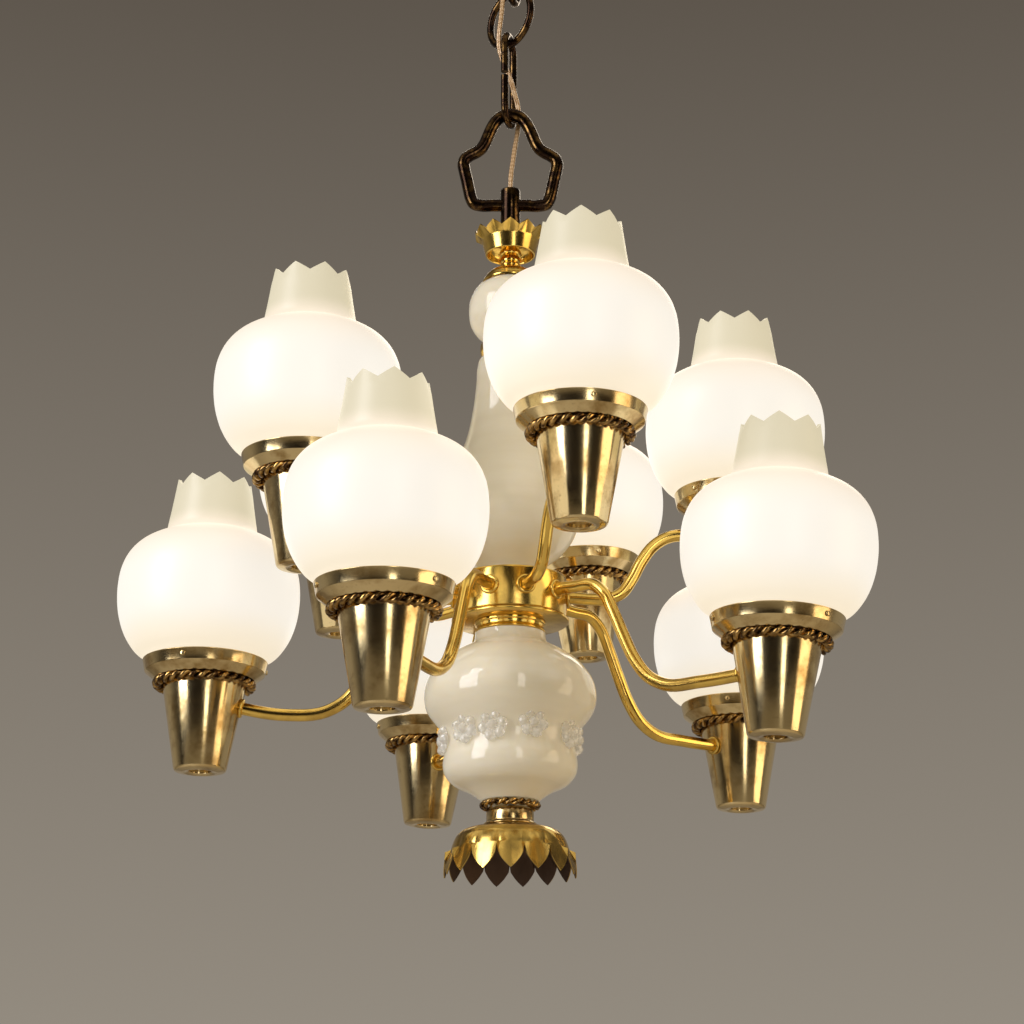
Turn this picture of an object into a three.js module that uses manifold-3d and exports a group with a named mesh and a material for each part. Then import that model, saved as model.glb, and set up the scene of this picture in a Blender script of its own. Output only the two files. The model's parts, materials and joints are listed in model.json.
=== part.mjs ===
// A ten-light chandelier of brass and opal glass, hanging from a ceiling hook on three chain links.
// Millimetres, +Z up. Heights in this file are above the hub plate, and the whole group is then lowered
// so that the origin is the middle of the ceiling plate's top face.
import * as THREE from 'three';
import Module from 'manifold-3d';
import { mergeVertices } from 'three/addons/utils/BufferGeometryUtils.js';

const wasm = await Module();
wasm.setup();

// Driving dimensions
const CEILING = 720;            // ceiling face above the hub plate
const GAP = 0.4;                // clearance between pieces that touch
const LINK_GAP = 0.8;           // clearance between two chain wires that hang in each other
const RING_GAP = 1.8;           // the same where the upper link crosses the ring aslant
const SHEET = 1.4;              // spun and pressed brass
const ROD = 5;                  // radius of the threaded rod through the middle
const BORE = ROD + GAP;

// Lamps: one every 36 degrees, in two tiers, each a cup with a shade in its gallery
const LAMPS = 10;
const FIRST_ANGLE = 15.7;       // from the front (-Y) towards +X
const UPPER = { reach: 189, rim: 107.3 };
const LOWER = { reach: 246.5, rim: -35.5 };
// How each hand-bent arm stands off its place: turn in degrees, reach, height, lean outwards and
// lean sideways in degrees
const AS_BENT = [
  [-0.5, 3.2, 6.2, 1.1, 0.7],
  [0.5, 0.4, -2.3, 2.4, 1.7],
  [0.5, -4.3, -1.5, 1.1, 0.3],
  [1.6, -3.0, -2.1, 1.4, 0.1],
  [-0.7, 1.8, -3.4, -0.2, 1.6],
  [0.8, 0.7, 0.7, -0.2, -2.3],
  [-0.3, -2.1, 2.2, 0.1, 0.2],
  [0.2, 0.3, 3.4, -0.5, -0.5],
  [-0.8, 1.3, -2.7, 0.3, 0.5],
  [-1.1, 1.4, 0.4, 1.0, 0.4],
];
const ARM_RADIUS = 5;
const ARM_BELOW_RIM = 38;       // where the arm meets the cup's side
const CUP_RADIUS_AT_ARM = 33.6; // the arm stops here, just clear of the cone
const CUP_DEPTH = 89.5;
const RIM_RADIUS = 50.4;
const SHADE_RADIUS = 74;
const SHADE_TOP = 153.5;        // tips of the shade's crown above the rim
const SHADE_POINTS = 8;
const TOOTH = 8;                // depth of the shade's crown points

// Hub
const DRUM_RADIUS = 46;
const DRUM_TOP = 35.5;
const ARM_HEIGHT = 19.3;        // the arm holes in the drum
const PLATE_RADIUS = 47.5;
const PLATE_HALF = 1.5;

// Chain, from the star loop up to the ceiling hook
const STAR_WIRE = 5.3;
const STAR_TOP = 457.1;         // wire centre at the top of the star loop
const STAR_BAR = 370;           // wire centre of its bottom bar
const LINK_WIRE = 3.25;
const LINK_BEND = 13.25;        // radius of an oval link's ends, at the wire centre
const LINK_LENGTH = 85;         // between the wire centres of its ends
const LINK_SPLIT = 4;           // the open joint in an oval link
const RING_WIRE = 3.2;
const RING_RADIUS = 25.75;
const HOOK_WIRE = 4;
const LINK_TURN = 17;           // degrees of each piece about the vertical
const RING_TURN = 47;
const LINK_STEPS = 37;
const OVAL_BOTTOM = STAR_TOP - STAR_WIRE - LINK_WIRE - LINK_GAP;
const OVAL_TOP = OVAL_BOTTOM + LINK_LENGTH;
const RING_BOTTOM = OVAL_TOP - LINK_WIRE - RING_WIRE - LINK_GAP;
const RING_TOP = RING_BOTTOM + 2 * RING_RADIUS;
const UPPER_LINK_BOTTOM = RING_TOP - RING_WIRE - LINK_WIRE - RING_GAP;
const UPPER_LINK_TOP = UPPER_LINK_BOTTOM + LINK_LENGTH;
const HOOK_BOTTOM = UPPER_LINK_TOP - LINK_WIRE - HOOK_WIRE - LINK_GAP;
const OVAL_SHIFT = -1.2;        // how far each link hangs to the side of the axis
const UPPER_SHIFT = 2.2;
const SLEEVE_RADIUS = 8.4;
const SLEEVE_TOP = 384;
const SLEEVE_BOTTOM = 347;

// Flexible cord, from the sleeve up through the links to the terminal block in the canopy
const CORD_RADIUS = 2;
const CORD_SIDES = 8;
const CORD_ROUTES = {
  flex_to_oval_link: [
    [0, 0, 384.4], [0.3, 0.8, 396], [2, 2.6, 412], [4.3, 5.2, 430], [6.4, 7.4, 445],
    [7.3, 7.9, 457], [6.4, 6.4, 469], [3.4, 3, 480], [0.4, -0.2, 489.8],
  ],
  flex_to_ring: [
    [0.3, -0.3, 490.2], [-3.4, -2.8, 500], [-7.6, -5, 510], [-10, -6.6, 521],
    [-10, -7.2, 532], [-9, -7.4, 542], [-8, -7.4, 550.8],
  ],
  flex_to_upper_link: [
    [-7.9, -7.4, 551.2], [-7.1, -6.8, 562], [-6.2, -5.8, 574], [-5.6, -4.4, 587],
    [-5.2, -2.6, 600], [-5, -0.8, 611.8],
  ],
  flex_to_canopy: [
    [-5, -0.7, 612.2], [-5.4, 3.4, 624], [-6.2, 7.8, 636], [-7, 10.4, 648],
    [-9, 12.8, 662], [-13, 15.4, 675], [-15.7, 16.9, 687], [-16, 17, 699.2],
  ],
};

// Looks
function look(colour, roughness, metalness) {
  return { color: colour, roughness, metalness };
}
const BRASS = look(0xc9a24a, 0.22, 1);
const AGED_BRASS = look(0x9c7c42, 0.32, 1);
const DARK_BRONZE = look(0x3a2a1c, 0.35, 1);
const STEEL = look(0x8a8a86, 0.4, 1);
const OPAL = look(0xf4ecd8, 0.35, 0);
const CREAM_GLASS = look(0xe9e2cf, 0.1, 0);
const FLEX = look(0xb89468, 0.4, 0);
const PORCELAIN = look(0xe8e4da, 0.3, 0);

const chandelier = new THREE.Group();

function piece(name, geometry, finish, parent = chandelier) {
  const mesh = new THREE.Mesh(geometry, new THREE.MeshStandardMaterial(finish));
  mesh.name = name;
  parent.add(mesh);
  return mesh;
}

// A turned shape: [radius, height] points, the outer side going up, closed or from axis to axis
function turned(outline, segments = 24) {
  const loop = outline[0][0] === 0 ? outline : [...outline, outline[0]];
  const points = loop.map(([r, z]) => new THREE.Vector2(r, z));
  const geometry = new THREE.LatheGeometry(points, segments);
  geometry.rotateX(Math.PI / 2);
  return geometry;
}

// The outline of pressed sheet: the outer side going up, then the same side moved in and coming down
function sheet(outer) {
  const last = outer.length - 1;
  const inner = outer.map(([r, z], i) => {
    const [r0, z0] = outer[Math.max(i - 1, 0)];
    const [r1, z1] = outer[Math.min(i + 1, last)];
    const [across, up] = [r1 - r0, z1 - z0];
    const share = SHEET / Math.hypot(across, up);
    if (i === 0 || i === last) {
      return Math.abs(up) > Math.abs(across) ? [r - SHEET, z] : [r, z + SHEET * Math.sign(across)];
    }
    return [r - share * up, z + share * across];
  });
  return [...outer, ...inner.reverse()];
}

// Cuts a rim into points: heights beyond base shrink towards it between the tips
function pointed(geometry, base, tip, depth, count) {
  const at = geometry.attributes.position;
  const up = Math.sign(tip - base);
  for (let i = 0; i < at.count; i++) {
    const beyond = (at.getZ(i) - base) * up;
    if (beyond > 0) {
      const turns = Math.atan2(at.getX(i), -at.getY(i)) * count / (2 * Math.PI);
      const fromTip = 2 * Math.abs(turns - Math.round(turns));
      const share = Math.min(fromTip * 1.5, 1);
      at.setZ(i, base + up * beyond * (1 - share * depth / Math.abs(tip - base)));
    }
  }
  return geometry;
}

// Round wire or tube along a smooth curve through points
function wire(points, radius, steps, sides = 8) {
  const section = new THREE.Shape();
  for (let i = 0; i < sides; i++) {
    const a = 2 * Math.PI * i / sides;
    const draw = i ? 'lineTo' : 'moveTo';
    section[draw](radius * Math.cos(a), radius * Math.sin(a));
  }
  const path = new THREE.CatmullRomCurve3(points.map((p) => new THREE.Vector3(...p)));
  return new THREE.ExtrudeGeometry(section, { steps, bevelEnabled: false, extrudePath: path });
}

function solid(geometry) {
  geometry.deleteAttribute('normal');
  geometry.deleteAttribute('uv');
  const merged = mergeVertices(geometry);
  return new wasm.Manifold(new wasm.Mesh({
    numProp: 3,
    vertProperties: new Float32Array(merged.attributes.position.array),
    triVerts: new Uint32Array(merged.index.array),
  }));
}

function fromSolid(manifold) {
  const { vertProperties, triVerts } = manifold.getMesh();
  const geometry = new THREE.BufferGeometry();
  geometry.setAttribute('position', new THREE.BufferAttribute(vertProperties, 3));
  geometry.setIndex(new THREE.BufferAttribute(triVerts, 1));
  geometry.computeVertexNormals();
  return geometry;
}

// Ceiling plate, hook, terminal block and canopy
function ceilingFitting() {
  const plateUnder = CEILING - 4;
  piece('ceiling_plate', turned([[0, plateUnder], [32, plateUnder], [32, CEILING], [0, CEILING]]), STEEL);
  const x = UPPER_SHIFT;
  const bend = 12;
  const middle = HOOK_BOTTOM + bend;
  const shank = [[x, 0, plateUnder - GAP], [x, 0, middle + 40], [x - 3, 0, middle + 28]];
  const curve = [];
  for (let a = 200; a >= 0; a -= 20) {
    const radians = THREE.MathUtils.degToRad(a);
    curve.push([x + bend * Math.cos(radians + Math.PI), 0, middle + bend * Math.sin(radians + Math.PI)]);
  }
  const around = curve.reverse().filter(([, , z]) => z < middle + 8);
  piece('ceiling_hook', wire([...shank, ...around.map(([px, , z]) => [2 * x - px, 0, z]).reverse()],
    HOOK_WIRE, 18), STEEL);
  const block = new THREE.BoxGeometry(16, 14, 16);
  block.translate(-16, 17, plateUnder - GAP - 8);
  piece('terminal_block', block, PORCELAIN);
  const bell = [[38, 656], [41, 662], [45, 673], [52, 694], [57, 710], [58, CEILING - 0.5]];
  piece('canopy', turned(sheet(bell)), BRASS);
}

// An oval link with an open joint in the bar that faces the front
function ovalLink(name, x, bottom) {
  const lower = bottom + LINK_BEND;
  const upper = bottom + LINK_LENGTH - LINK_BEND;
  const half = (lower + upper) / 2;
  const side = [[-LINK_BEND, half + LINK_SPLIT / 2], [-LINK_BEND, upper - 8]];
  for (let a = 180; a >= 0; a -= 30) {
    const radians = THREE.MathUtils.degToRad(a);
    side.push([LINK_BEND * Math.cos(radians), upper + LINK_BEND * Math.sin(radians)]);
  }
  const flipped = side.map(([s, z]) => [-s, 2 * half - z]).slice(1);
  const all = [...side, ...flipped, [-LINK_BEND, half - LINK_SPLIT / 2]];
  const mesh = piece(name, wire(all.map(([s, z]) => [0, s, z]), LINK_WIRE, LINK_STEPS),
    DARK_BRONZE);
  mesh.position.x = x;
  mesh.rotation.z = THREE.MathUtils.degToRad(-LINK_TURN);
}

function chain() {
  ovalLink('upper_link', UPPER_SHIFT, UPPER_LINK_BOTTOM);
  const ring = new THREE.TorusGeometry(RING_RADIUS, RING_WIRE, 8, 24);
  ring.rotateX(Math.PI / 2);
  const hung = piece('ring_link', ring, DARK_BRONZE);
  hung.position.z = (RING_BOTTOM + RING_TOP) / 2;
  hung.rotation.z = THREE.MathUtils.degToRad(-RING_TURN);
  ovalLink('oval_link', OVAL_SHIFT, OVAL_BOTTOM);
}

// The star-shaped suspension loop: one bent wire whose ends meet inside the sleeve
function starLoop() {
  const half = [
    [0.3, STAR_BAR], [24, STAR_BAR], [30, STAR_BAR + 0.5], [34.5, STAR_BAR + 4.5], [38, 390],
    [41.2, 406], [40.8, 413], [35.5, 418.5], [27.5, 422.5], [22.5, 428], [19.6, 436],
    [14.5, 447], [8.5, 454.6],
  ];
  const left = half.map(([x, z]) => [-x, z]).reverse();
  const all = [...half, [0, STAR_TOP], ...left];
  piece('star_loop', wire(all.map(([x, z]) => [x, 0, z]), STAR_WIRE, 36), DARK_BRONZE);

  const sleeve = turned([
    [BORE, SLEEVE_BOTTOM], [SLEEVE_RADIUS, SLEEVE_BOTTOM], [SLEEVE_RADIUS, SLEEVE_TOP],
    [BORE, SLEEVE_TOP],
  ], 24);
  const crossHole = new THREE.CylinderGeometry(STAR_WIRE + GAP, STAR_WIRE + GAP, 4 * SLEEVE_RADIUS, 16);
  crossHole.rotateZ(Math.PI / 2);
  crossHole.translate(0, 0, STAR_BAR);
  piece('stem_sleeve', fromSolid(solid(sleeve).subtract(solid(crossHole))), DARK_BRONZE);
}

function cord() {
  for (const [name, route] of Object.entries(CORD_ROUTES)) {
    piece(name, wire(route, CORD_RADIUS, route.length - 1, CORD_SIDES), FLEX);
  }
}

// Everything threaded on the rod above the hub
function upperColumn() {
  const crown = [
    [BORE, 331], [17, 331], [19.2, 323], [20.6, 323], [22.5, 329], [30, 345.5],
    [28.7, 345.5], [21, 331], [18.5, 333], [BORE, 333],
  ];
  piece('top_crown', pointed(turned(crown), 334, 345.5, 6.5, 12), BRASS);
  piece('collar_nut', turned([[BORE, 312], [7.6, 312], [7.6, 330.5], [BORE, 330.5]], 16), BRASS);
  const cap = [[23, 297.5], [22.5, 301], [18, 306.5], [11.5, 310], [BORE, 311]];
  piece('ball_cap', turned(sheet(cap)), BRASS);
  const ball = [
    [18.5, 244], [28, 250.5], [33.8, 261], [35, 272], [33, 284.5], [27, 293], [20.5, 296.5],
    [17.5, 296.5], [29, 284], [32, 272], [29, 259], [15.5, 244],
  ];
  piece('glass_ball', turned(ball), CREAM_GLASS);
  piece('neck_bead', turned([
    [BORE, 229], [20, 229], [24.5, 231.5], [25, 236], [24.5, 240.5], [20, 243.4], [BORE, 243.4],
  ], 16), BRASS);
  const vase = [
    [26, 37], [28, 45], [42, 58], [54, 74], [58, 92], [54.5, 112], [45, 134], [35.5, 156],
    [30.5, 184], [27.5, 212], [23, 228.4],
    [20, 228.4], [24, 212], [27, 184], [32, 156], [51, 112], [54, 92], [50, 76], [24, 49], [23, 37],
  ];
  piece('glass_vase', turned(vase), CREAM_GLASS);
}

// The drum that takes the arms, and the plate and gallery under it
function hub() {
  const drum = [
    [DRUM_RADIUS - 2, 2.4], [DRUM_RADIUS, 2.4], [DRUM_RADIUS, DRUM_TOP - 2], [DRUM_RADIUS - 2, DRUM_TOP],
    [32, DRUM_TOP], [32, DRUM_TOP - 1.6], [DRUM_RADIUS - 2, DRUM_TOP - 2],
  ];
  piece('hub_drum', turned(drum), BRASS);
  piece('hub_plate', turned([
    [BORE, -PLATE_HALF], [PLATE_RADIUS, -PLATE_HALF], [PLATE_RADIUS, PLATE_HALF], [BORE, PLATE_HALF],
  ]), BRASS);
  piece('urn_gallery', turned([
    [25, -10], [27, -10], [27, -PLATE_HALF - GAP], [BORE, -PLATE_HALF - GAP], [BORE, -3.4], [25, -3.4],
  ]), BRASS);
}

function lowerColumn() {
  const urn = [
    [23, -146], [27.5, -142.5], [33.8, -138], [48.5, -130], [53.5, -117], [51.2, -101],
    [54.5, -92], [63.6, -79], [69.3, -62.5], [64, -45], [48, -29], [30, -20.5], [28.5, -10.6],
    [25.5, -10.6], [26, -22], [46, -33], [62, -50], [65, -64], [50, -90], [47.5, -101], [50, -117],
    [45, -128], [24, -140], [20, -146],
  ];
  piece('glass_urn', turned(urn), CREAM_GLASS);
  const rope = new THREE.TorusGeometry(21, 4, 6, 24);
  rope.translate(0, 0, -150.6);
  piece('rope_ring', rope, AGED_BRASS);
  piece('foot_spool', turned([
    [BORE, -166], [20.5, -166], [20.5, -164.4], [17.6, -162.5], [16.2, -159], [16.6, -155.2], [BORE, -155.2],
  ]), BRASS);
  const petals = [
    [52, -206.5], [48, -196], [43.5, -186], [38, -177], [30, -171], [20, -168.4], [BORE, -168],
  ];
  const bell = turned(sheet(petals), 30);
  piece('petal_crown', pointed(bell, -188, -206.5, 16.5, 15), BRASS);
  const corner = BORE / Math.cos(Math.PI / 6);
  piece('finial_nut', turned([[corner, -179], [9.5, -179], [9.5, -170.4], [corner, -170.4]], 6), BRASS);
  piece('centre_rod', turned([[0, -182], [ROD, -182], [ROD, 358], [0, 358]], 12), STEEL);
}

// Cup with its gallery, the twisted wire under it and the lampholder inside
function cupOutline() {
  return [
    [0, -CUP_DEPTH], [21, -CUP_DEPTH], [33.4, -25], [41.6, -21.5], [41.6, -16], [48.4, -9.5],
    [RIM_RADIUS, 0], [RIM_RADIUS - 1.2, 0], [46.9, -9], [32, -14.5], [19.6, -86], [14, -86],
    [14, -12], [0, -12],
  ];
}

function shadeOutline() {
  return [
    [46, -8], [47.6, 0.6], [64.5, 19], [SHADE_RADIUS, 55], [65.5, 91], [37.5, 116], [30, SHADE_TOP],
    [27, SHADE_TOP], [34, 117.5], [62.5, 88], [70, 53], [42, -8],
  ];
}

function armRoute(tier, reach, height) {
  const rise = tier === UPPER
    ? [[80, 18.8], [90, 23], [99, 35], [107, 50], [117, 63], [128, 70], [139, 72]]
    : [[82, 17], [92, 9], [102, -10], [111, -30], [121, -50], [133, -65], [148, -73.5], [180, -76]];
  return [[DRUM_RADIUS + GAP, ARM_HEIGHT], [64, 18.4], ...rise, [reach - CUP_RADIUS_AT_ARM, height]];
}

function lamp(index) {
  const tier = index % 2 ? LOWER : UPPER;
  const [turn, further, higher, leanOut, leanSide] = AS_BENT[index];
  const angle = THREE.MathUtils.degToRad(FIRST_ANGLE + index * 360 / LAMPS + turn);
  const outwards = new THREE.Vector3(Math.sin(angle), -Math.cos(angle), 0);
  const sideways = new THREE.Vector3(Math.cos(angle), Math.sin(angle), 0);
  const reach = tier.reach + further;
  const joint = tier.rim + higher - ARM_BELOW_RIM;

  const route = armRoute(tier, reach, joint).map(([r, z]) => [r * outwards.x, r * outwards.y, z]);
  piece(`arm_${index + 1}`, wire(route, ARM_RADIUS, tier === UPPER ? 10 : 15), BRASS);

  const up = new THREE.Vector3(0, 0, 1)
    .addScaledVector(outwards, Math.tan(THREE.MathUtils.degToRad(leanOut)))
    .addScaledVector(sideways, Math.tan(THREE.MathUtils.degToRad(leanSide)))
    .normalize();
  const head = new THREE.Group();
  head.position.copy(outwards).multiplyScalar(reach).setZ(joint);
  head.quaternion.setFromUnitVectors(new THREE.Vector3(0, 0, 1), up);
  chandelier.add(head);
  const cup = turned(cupOutline(), 16);
  const shade = pointed(turned(shadeOutline(), 2 * SHADE_POINTS), 116, SHADE_TOP, TOOTH, SHADE_POINTS);
  for (const [name, geometry, finish] of [['cup', cup, AGED_BRASS], ['shade', shade, OPAL]]) {
    geometry.translate(0, 0, ARM_BELOW_RIM);
    piece(`${name}_${index + 1}`, geometry, finish, head);
  }
}

ceilingFitting();
chain();
starLoop();
cord();
upperColumn();
hub();
lowerColumn();
for (let index = 0; index < LAMPS; index++) {
  lamp(index);
}
chandelier.position.z = -CEILING;

export default chandelier;
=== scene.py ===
"""A ten-light chandelier of brass and opal glass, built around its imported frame.

Outlines are in millimetres above the hub plate, or above a lamp's gallery rim, and pieces are in metres.
"""

import json
import math

import bpy
from mathutils import Matrix, Vector


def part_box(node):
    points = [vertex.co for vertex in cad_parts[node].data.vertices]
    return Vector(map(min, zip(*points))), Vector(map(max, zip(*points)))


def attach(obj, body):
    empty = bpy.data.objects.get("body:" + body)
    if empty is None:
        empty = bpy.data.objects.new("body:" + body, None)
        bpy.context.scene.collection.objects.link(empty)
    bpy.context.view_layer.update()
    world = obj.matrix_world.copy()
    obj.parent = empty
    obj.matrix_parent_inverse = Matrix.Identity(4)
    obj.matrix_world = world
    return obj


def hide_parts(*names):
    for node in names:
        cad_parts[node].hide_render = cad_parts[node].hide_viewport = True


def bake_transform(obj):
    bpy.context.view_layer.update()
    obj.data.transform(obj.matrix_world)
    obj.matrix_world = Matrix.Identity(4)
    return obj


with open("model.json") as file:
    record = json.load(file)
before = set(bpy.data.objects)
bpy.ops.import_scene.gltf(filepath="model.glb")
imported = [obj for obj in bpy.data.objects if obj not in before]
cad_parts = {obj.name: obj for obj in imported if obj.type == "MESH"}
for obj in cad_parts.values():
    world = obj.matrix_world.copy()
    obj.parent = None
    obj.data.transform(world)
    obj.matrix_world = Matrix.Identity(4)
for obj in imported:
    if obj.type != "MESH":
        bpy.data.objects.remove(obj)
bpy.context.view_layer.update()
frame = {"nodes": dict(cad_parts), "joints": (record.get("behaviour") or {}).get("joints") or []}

MM = 0.001
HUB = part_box("hub_plate")[1].z - 1.5 * MM      # the middle of the hub plate
UP = Vector((0, 0, 1))


# ---------------------------------------------------------------- camera

EYE = (-0.0131, -1.7633, -1.1931)
LOOKS_UP = 17.807
LOOKS_RIGHT = 0.472


def set_camera():
    data = bpy.data.cameras.new("camera")
    data.lens = 79.17
    data.sensor_width = 36
    camera = bpy.data.objects.new("camera", data)
    camera.location = EYE
    camera.rotation_euler = (math.radians(90 + LOOKS_UP), 0, math.radians(-LOOKS_RIGHT))
    bpy.context.scene.collection.objects.link(camera)
    bpy.context.scene.camera = camera


# ---------------------------------------------------------------- materials

def linear(colour):
    """An sRGB hex colour as the linear colour that shaders take"""
    values = [int(colour[i:i + 2], 16) / 255 for i in (1, 3, 5)]
    return [((v + 0.055) / 1.055) ** 2.4 if v > 0.04045 else v / 12.92 for v in values] + [1]


def add(tree, kind, inputs, **settings):
    """Adds a node: an input takes a value, or the output socket that feeds it"""
    made = tree.nodes.new("ShaderNode" + kind)
    for name, value in settings.items():
        setattr(made, name, value)
    for key, value in inputs.items():
        if isinstance(value, bpy.types.NodeSocket):
            tree.links.new(value, made.inputs[key])
        else:
            made.inputs[key].default_value = value
    return made


def blank(name):
    """A new material with only its output node, and its tree"""
    made = bpy.data.materials.new(name)
    made.use_nodes = True
    tree = made.node_tree
    tree.nodes.remove(tree.nodes["Principled BSDF"])
    return made, tree


def close(tree, inputs):
    """The surface that a material ends in"""
    surface = add(tree, "BsdfPrincipled", inputs)
    tree.links.new(surface.outputs[0], tree.nodes["Material Output"].inputs["Surface"])


def worn_metal(name, bright, dull, roughness, patch_mm, dull_share, dent_mm, dent_depth_mm, specks=0.0,
               shaded_inside_colour=None):
    """Bare metal: duller patches where it has tarnished, fine rubbing marks, and shallow dents that make
    its reflections waver. Where the attribute inside is 1, it is rougher and takes a darker colour: painted
    shade on faces turned towards the axis"""
    made, tree = blank(name)
    place = add(tree, "TexCoord", {}).outputs["Object"]
    patches = add(tree, "TexNoise", {"Vector": place, "Scale": 1 / (patch_mm * MM), "Detail": 5,
                                     "Roughness": 0.6})
    share = add(tree, "MapRange", {"Value": patches.outputs["Fac"], "From Min": 0.62 - dull_share * 0.4,
                                   "From Max": 0.78 - dull_share * 0.3, "To Max": 1.0})
    colour = add(tree, "Mix", {0: share.outputs[0], 6: linear(bright), 7: linear(dull)}, data_type="RGBA")
    marks = add(tree, "TexNoise", {"Vector": place, "Scale": 1 / (1.6 * MM), "Detail": 3})
    pits = add(tree, "MapRange", {"Value": marks.outputs["Fac"], "From Min": 0.30, "From Max": 0.36,
                                  "To Min": specks, "To Max": 0.0})
    pitted = add(tree, "Mix", {0: pits.outputs[0], 6: colour.outputs[2], 7: linear("#3b2c1c")},
                 data_type="RGBA")
    rough = add(tree, "MapRange", {"Value": patches.outputs["Fac"], "From Min": 0.3, "From Max": 0.75,
                                   "To Min": roughness[0], "To Max": roughness[1]})
    rubbed = add(tree, "Math", {0: marks.outputs["Fac"], 1: 0.08, 2: rough.outputs[0]},
                 operation="MULTIPLY_ADD")
    dents = add(tree, "TexNoise", {"Vector": place, "Scale": 1 / (dent_mm * MM), "Detail": 1})
    relief = add(tree, "Bump", {"Height": dents.outputs["Fac"], "Strength": 1.0,
                                "Distance": dent_depth_mm * MM})
    fine = add(tree, "Bump", {"Height": marks.outputs["Fac"], "Strength": 1.0, "Distance": 0.004 * MM,
                              "Normal": relief.outputs[0]})
    seen, gloss = pitted.outputs[2], rubbed.outputs[0]
    if shaded_inside_colour:
        # Faces turned towards the axis: rougher, and darker as painted shade
        inside = add(tree, "Attribute", {}, attribute_name="inside").outputs["Fac"]
        seen = add(tree, "Mix", {0: inside, 6: seen, 7: linear(shaded_inside_colour)}, data_type="RGBA").outputs[2]
        gloss = add(tree, "Math", {0: inside, 1: 0.35, 2: gloss}, operation="MULTIPLY_ADD").outputs[0]
    close(tree, {"Base Color": seen, "Metallic": 1.0, "Roughness": gloss, "Normal": fine.outputs[0]})
    return made


# The shade's glow at its rim, round its body, on its shoulder and in its crown
GLOW_RIM = linear("#E7DAC2")
GLOW_BODY = linear("#E7E3DB")
GLOW_SHOULDER = linear("#E7D8C5")
GLOW_CROWN = linear("#C2BA9F")


def opal_glass():
    """Satin opal glass with a lamp lit inside it: it glows evenly, brightest round the bulb, and the
    thin crown above the bulb is dimmer. The attribute rise runs from 0 at the rim to 1 at the tips"""
    made, tree = blank("satin opal glass, lit")
    rise = add(tree, "Attribute", {}, attribute_name="rise")
    place = add(tree, "TexCoord", {}).outputs["Object"]
    cloud = add(tree, "TexNoise", {"Vector": place, "Scale": 1 / (60 * MM), "Detail": 2})
    wandered = add(tree, "Math", {0: cloud.outputs["Fac"], 1: 0.06, 2: rise.outputs["Fac"]},
                   operation="MULTIPLY_ADD")
    above_rim = add(tree, "MapRange", {"Value": wandered.outputs[0], "From Min": 0.02, "From Max": 0.26},
                    interpolation_type="SMOOTHSTEP")
    shoulder = add(tree, "MapRange", {"Value": wandered.outputs[0], "From Min": 0.42, "From Max": 0.72},
                   interpolation_type="SMOOTHSTEP")
    crown = add(tree, "MapRange", {"Value": wandered.outputs[0], "From Min": 0.70, "From Max": 0.84},
                interpolation_type="SMOOTHSTEP")
    low = add(tree, "Mix", {0: above_rim.outputs[0], 6: GLOW_RIM, 7: GLOW_BODY}, data_type="RGBA")
    body = add(tree, "Mix", {0: shoulder.outputs[0], 6: low.outputs[2], 7: GLOW_SHOULDER}, data_type="RGBA")
    glow = add(tree, "Mix", {0: crown.outputs[0], 6: body.outputs[2], 7: GLOW_CROWN}, data_type="RGBA")
    close(tree, {"Base Color": linear("#8E887B"), "Roughness": 0.42, "Coat Weight": 0.05,
                 "Coat Roughness": 0.25, "Emission Color": glow.outputs[2], "Emission Strength": 1.0})
    return made


def cream_glass():
    """Blown cream glass, fire polished: deep gloss over a milky body, with the faint waviness and turned
    bands of hand blowing. It has a faint painted glow, an emission that stands in for the light of the lamps
    round it"""
    made, tree = blank("blown cream glass")
    place = add(tree, "TexCoord", {}).outputs["Object"]
    bands = add(tree, "Mapping", {"Vector": place, "Scale": (0.25, 0.25, 1.6)})
    swirl = add(tree, "TexNoise", {"Vector": bands.outputs[0], "Scale": 1 / (22 * MM), "Detail": 3})
    colour = add(tree, "Mix", {0: swirl.outputs["Fac"], 6: linear("#EDE6D4"), 7: linear("#DDD3BA")},
                 data_type="RGBA")
    waves = add(tree, "TexNoise", {"Vector": place, "Scale": 1 / (34 * MM), "Detail": 1})
    relief = add(tree, "Bump", {"Height": waves.outputs["Fac"], "Strength": 1.0, "Distance": 0.5 * MM})
    turned_bands = add(tree, "Bump", {"Height": swirl.outputs["Fac"], "Strength": 1.0,
                                      "Distance": 0.08 * MM, "Normal": relief.outputs[0]})
    # The faint emission is painted light: it stands in for the lamps' light caught in the milky glass
    close(tree, {"Base Color": colour.outputs[2], "Roughness": 0.05, "IOR": 1.5,
                 "Subsurface Weight": 0.35, "Subsurface Radius": (1.0, 0.8, 0.5),
                 "Subsurface Scale": 6 * MM, "Emission Color": linear("#F0DDB4"),
                 "Emission Strength": 0.07, "Normal": turned_bands.outputs[0]})
    return made


def clear_glass():
    """Pressed clear glass, slightly uneven. It is thin and lies on the milky urn, which shows through it"""
    made, tree = blank("pressed clear glass")
    place = add(tree, "TexCoord", {}).outputs["Object"]
    waves = add(tree, "TexNoise", {"Vector": place, "Scale": 1 / (4 * MM), "Detail": 1})
    relief = add(tree, "Bump", {"Height": waves.outputs["Fac"], "Strength": 1.0, "Distance": 0.3 * MM})
    close(tree, {"Base Color": linear("#FBFAF4"), "Roughness": 0.02, "IOR": 1.8, "Alpha": 0.5,
                 "Transmission Weight": 0.35, "Coat Weight": 1.0, "Coat Roughness": 0.02,
                 "Normal": relief.outputs[0]})
    return made


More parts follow.
